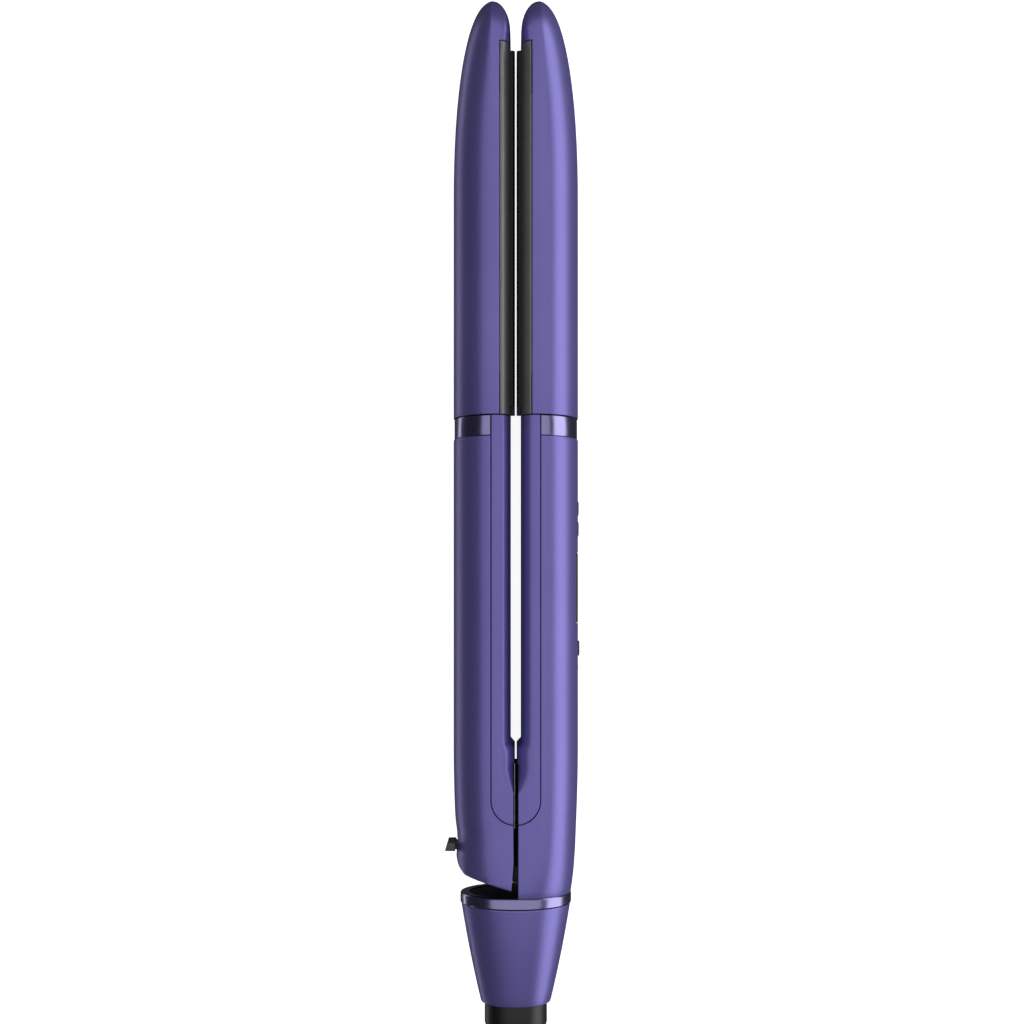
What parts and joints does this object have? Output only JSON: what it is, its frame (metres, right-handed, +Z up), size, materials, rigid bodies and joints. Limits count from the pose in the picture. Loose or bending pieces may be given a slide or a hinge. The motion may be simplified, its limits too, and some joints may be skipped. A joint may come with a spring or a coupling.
{
  "type": "flat iron",
  "caption": "Slim closing hair straightener lying on its side: two hinged arms with floating heating plates, controls in one handle, thumb lock, swivel tail and stored mains cord.",
  "frame": {"origin": "middle of the iron's own length and of its closing plane, on the surface that it lies on; the cord past the strain relief is not counted", "axes": "+Y towards the arm tips, the longest side; +Z up and along the hinge pin; +X towards the fixed arm with the controls"},
  "size_m": [0.046, 0.5567, 0.0461],
  "materials": {
    "satin_purple_plastic": "moulded ABS with a satin purple coating",
    "metallic_purple": "vacuum metallised plastic, glossy",
    "heat_resistant_plastic": "moulded glass-filled nylon, fine matt grain",
    "ceramic_coated_plate": "aluminium with black ceramic coating, satin",
    "heater_mica": "ceramic heater in polyimide wrap",
    "spring_steel": "bright rolled steel",
    "screw_steel": "zinc plated steel",
    "blackened_steel": "black oxide",
    "brass": "turned brass",
    "sensor_bead": "glass-dipped bead",
    "heater_wire": "red silicone-insulated wire",
    "mains_wire": "blue PVC-insulated wire",
    "circuit_board": "green solder mask on glass epoxy",
    "component_black": "moulded black thermoset",
    "display_glass": "liquid crystal glass",
    "smoked_lens": "smoked polycarbonate, glossy",
    "light_guide": "frosted light guide",
    "button_plastic": "matt graphite ABS",
    "lever_plastic": "matt black acetal",
    "swivel_nylon": "natural nylon",
    "soft_black_pvc": "moulded soft black PVC",
    "cord_pvc": "extruded black PVC",
    "tie_fabric": "woven hook-and-loop tape",
    "plug_pin_nickel": "nickel-plated brass"
  },
  "bodies": {
    "root": {"fixed_head_shell": "satin_purple_plastic", "fixed_band": "metallic_purple", "fixed_handle_shell": "satin_purple_plastic", "fixed_inner_cover": "satin_purple_plastic", "fixed_plate_carrier": "heat_resistant_plastic", "fixed_head_screws": "screw_steel", "fixed_cover_screws": "screw_steel", "fixed_heater_leads": "heater_wire", "fixed_plate_springs": "spring_steel", "control_board": "circuit_board", "power_module": "component_black", "display_module": "display_glass", "display_lens": "smoked_lens", "tact_switches": "component_black", "status_light": "light_guide", "hinge_bracket": "blackened_steel", "hinge_pin": "blackened_steel", "hinge_clip": "blackened_steel", "fixed_slit_seal": "soft_black_pvc", "lock_catch": "blackened_steel", "collar_ring": "metallic_purple", "tail_bulkhead": "component_black", "tail_cone": "satin_purple_plastic", "brush_block": "component_black", "contact_brushes": "brass", "mains_leads": "mains_wire", "cord_lead": "cord_pvc", "cord_hank": "cord_pvc", "cord_tie": "tie_fabric", "plug_body": "soft_black_pvc", "plug_pins": "plug_pin_nickel"},
    "moving_arm": {"moving_head_shell": "satin_purple_plastic", "moving_band": "metallic_purple", "moving_handle_shell": "satin_purple_plastic", "moving_inner_cover": "satin_purple_plastic", "moving_plate_carrier": "heat_resistant_plastic", "moving_head_screws": "screw_steel", "moving_cover_screws": "screw_steel", "moving_heater_leads": "heater_wire", "moving_plate_springs": "spring_steel", "hinge_lug": "blackened_steel", "hinge_bushes": "brass", "hinge_spring": "spring_steel", "moving_slit_seal": "soft_black_pvc", "lock_leaf_spring": "spring_steel"},
    "moving_plate_body": {"moving_plate": "ceramic_coated_plate", "moving_heater": "heater_mica", "moving_heater_clamp": "spring_steel", "moving_thermistor": "sensor_bead"},
    "fixed_plate_body": {"fixed_plate": "ceramic_coated_plate", "fixed_heater": "heater_mica", "fixed_heater_clamp": "spring_steel", "fixed_thermistor": "sensor_bead"},
    "power_key": {"power_button": "button_plastic"},
    "plus_key": {"plus_button": "button_plastic"},
    "minus_key": {"minus_button": "button_plastic"},
    "lock": {"lock_slider": "lever_plastic"},
    "swivel": {"swivel_hub": "swivel_nylon", "slip_rings": "brass", "strain_relief": "soft_black_pvc"}
  },
  "joints": [
    {"name": "arm_hinge", "type": "hinge", "parent": "root", "child": "moving_arm", "pos_m": [0, -0.1016, 0.0171], "axis": [0, 0, 1], "range_deg": [0, 14], "deforming": ["hinge_spring"]},
    {"name": "fixed_plate_float", "type": "slide", "parent": "root", "child": "fixed_plate_body", "axis": [1, 0, 0], "range_m": [0, 0.0008], "stiffness_N_per_m": 1500, "springref_m": -0.0015, "deforming": ["fixed_plate_springs"]},
    {"name": "moving_plate_float", "type": "slide", "parent": "moving_arm", "child": "moving_plate_body", "axis": [-1, 0, 0], "range_m": [0, 0.0008], "stiffness_N_per_m": 1500, "springref_m": -0.0015, "deforming": ["moving_plate_springs"]},
    {"name": "power_press", "type": "slide", "parent": "root", "child": "power_key", "axis": [-1, 0, 0], "range_m": [0, 0.0005], "stiffness_N_per_m": 900, "springref_m": -0.0008},
    {"name": "plus_press", "type": "slide", "parent": "root", "child": "plus_key", "axis": [-1, 0, 0], "range_m": [0, 0.0005], "stiffness_N_per_m": 900, "springref_m": -0.0008},
    {"name": "minus_press", "type": "slide", "parent": "root", "child": "minus_key", "axis": [-1, 0, 0], "range_m": [0, 0.0005], "stiffness_N_per_m": 900, "springref_m": -0.0008},
    {"name": "lock_slide", "type": "slide", "parent": "moving_arm", "child": "lock", "axis": [0, 1, 0], "range_m": [-0.0022, 0]},
    {"name": "cord_swivel", "type": "hinge", "parent": "root", "child": "swivel", "pos_m": [0, -0.13, 0.0171], "axis": [0, 1, 0], "continuous": true}
  ]
}
